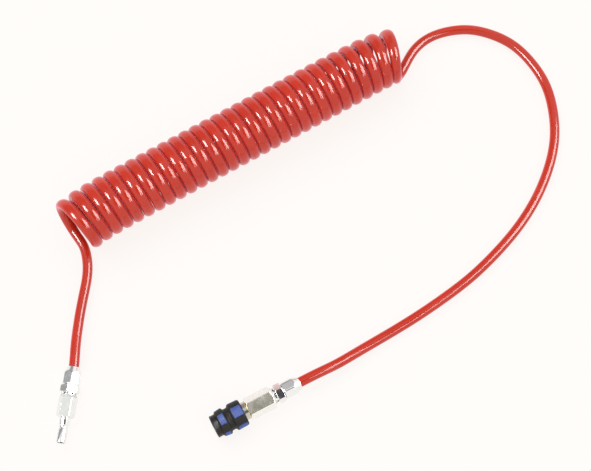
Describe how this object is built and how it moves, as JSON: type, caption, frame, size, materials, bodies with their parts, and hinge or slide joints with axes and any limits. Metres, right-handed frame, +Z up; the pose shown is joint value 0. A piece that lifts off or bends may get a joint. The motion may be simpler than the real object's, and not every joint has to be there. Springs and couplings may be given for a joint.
{
  "type": "coiled air hose",
  "caption": "Coiled polyurethane air hose lying on its side, with two curved tails that end in a quick-connect plug and a sprung quick coupler.",
  "frame": {"origin": "centre of the footprint, on the surface that the hose lies on", "axes": "+Z up, +X along the footprint's longer side; the coil's axis is horizontal and 30 degrees from +X towards +Y"},
  "size_m": [0.5113, 0.4435, 0.0604],
  "materials": {
    "hose": "glossy translucent polyurethane",
    "nickel": "bright nickel plate",
    "satin_nickel": "satin nickel plate",
    "steel": "ground steel",
    "brass": "satin brass",
    "sleeve_shell": "black glass-filled plastic",
    "grip_black": "soft black rubber",
    "grip_blue": "soft blue rubber",
    "seal_rubber": "black nitrile rubber",
    "washer_plastic": "hard fibre"
  },
  "bodies": {
    "hose_and_fittings": {"hose_coil": "hose", "hose_tail_plug_side": "hose", "hose_tail_coupler_side": "hose", "hose_end_plug_side": "hose", "hose_end_coupler_side": "hose", "plug_union_nut": "nickel", "plug_hose_insert": "nickel", "plug_sealing_washer": "washer_plastic", "plug_body": "nickel", "coupler_union_nut": "nickel", "coupler_hose_insert": "nickel", "coupler_sealing_washer": "washer_plastic", "coupler_rear_body": "satin_nickel", "coupler_body_seal": "brass", "coupler_barrel": "steel", "sleeve_circlip": "steel", "nipple_seal": "seal_rubber", "valve_spring": "steel", "valve_spring_seat": "brass"},
    "spring_ring": {"sleeve_spring": "steel"},
    "sleeve": {"release_sleeve": "sleeve_shell", "sleeve_grip": "grip_black", "grip_inserts_rear": "grip_blue", "grip_inserts_front": "grip_blue"},
    "valve": {"valve_poppet": "brass", "valve_seal": "seal_rubber"},
    "locking_ball_1": {"locking_ball_1": "steel"},
    "locking_ball_2": {"locking_ball_2": "steel"},
    "locking_ball_3": {"locking_ball_3": "steel"},
    "locking_ball_4": {"locking_ball_4": "steel"}
  },
  "joints": [
    {"name": "sleeve_spin", "type": "hinge", "parent": "hose_and_fittings", "child": "spring_ring", "pos_m": [-0.07381, -0.19586, 0.0137], "axis": [-0.8829, -0.4695, 0], "continuous": true},
    {"name": "sleeve_slide", "type": "slide", "parent": "spring_ring", "child": "sleeve", "axis": [0.8829, 0.4695, 0], "range_m": [0, 0.004], "stiffness_N_per_m": 800, "springref_m": -0.004, "deforming": ["sleeve_spring"]},
    {"name": "valve_slide", "type": "slide", "parent": "hose_and_fittings", "child": "valve", "axis": [0.8829, 0.4695, 0], "range_m": [0, 0.004], "stiffness_N_per_m": 300, "springref_m": -0.003, "deforming": ["valve_spring"]},
    {"name": "locking_ball_1_out", "type": "slide", "parent": "hose_and_fittings", "child": "locking_ball_1", "axis": [0.332, -0.6243, -0.7071], "range_m": [0, 0.001]},
    {"name": "locking_ball_2_out", "type": "slide", "parent": "hose_and_fittings", "child": "locking_ball_2", "axis": [0.332, -0.6243, 0.7071], "range_m": [0, 0.001]},
    {"name": "locking_ball_3_out", "type": "slide", "parent": "hose_and_fittings", "child": "locking_ball_3", "axis": [-0.332, 0.6243, 0.7071], "range_m": [0, 0.001]},
    {"name": "locking_ball_4_out", "type": "slide", "parent": "hose_and_fittings", "child": "locking_ball_4", "axis": [-0.332, 0.6243, -0.7071], "range_m": [0, 0.001]}
  ],
  "couplings": [
    {"joint": "locking_ball_1_out", "follows": "sleeve_slide", "ratio": 0.24},
    {"joint": "locking_ball_2_out", "follows": "sleeve_slide", "ratio": 0.24},
    {"joint": "locking_ball_3_out", "follows": "sleeve_slide", "ratio": 0.24},
    {"joint": "locking_ball_4_out", "follows": "sleeve_slide", "ratio": 0.24}
  ]
}
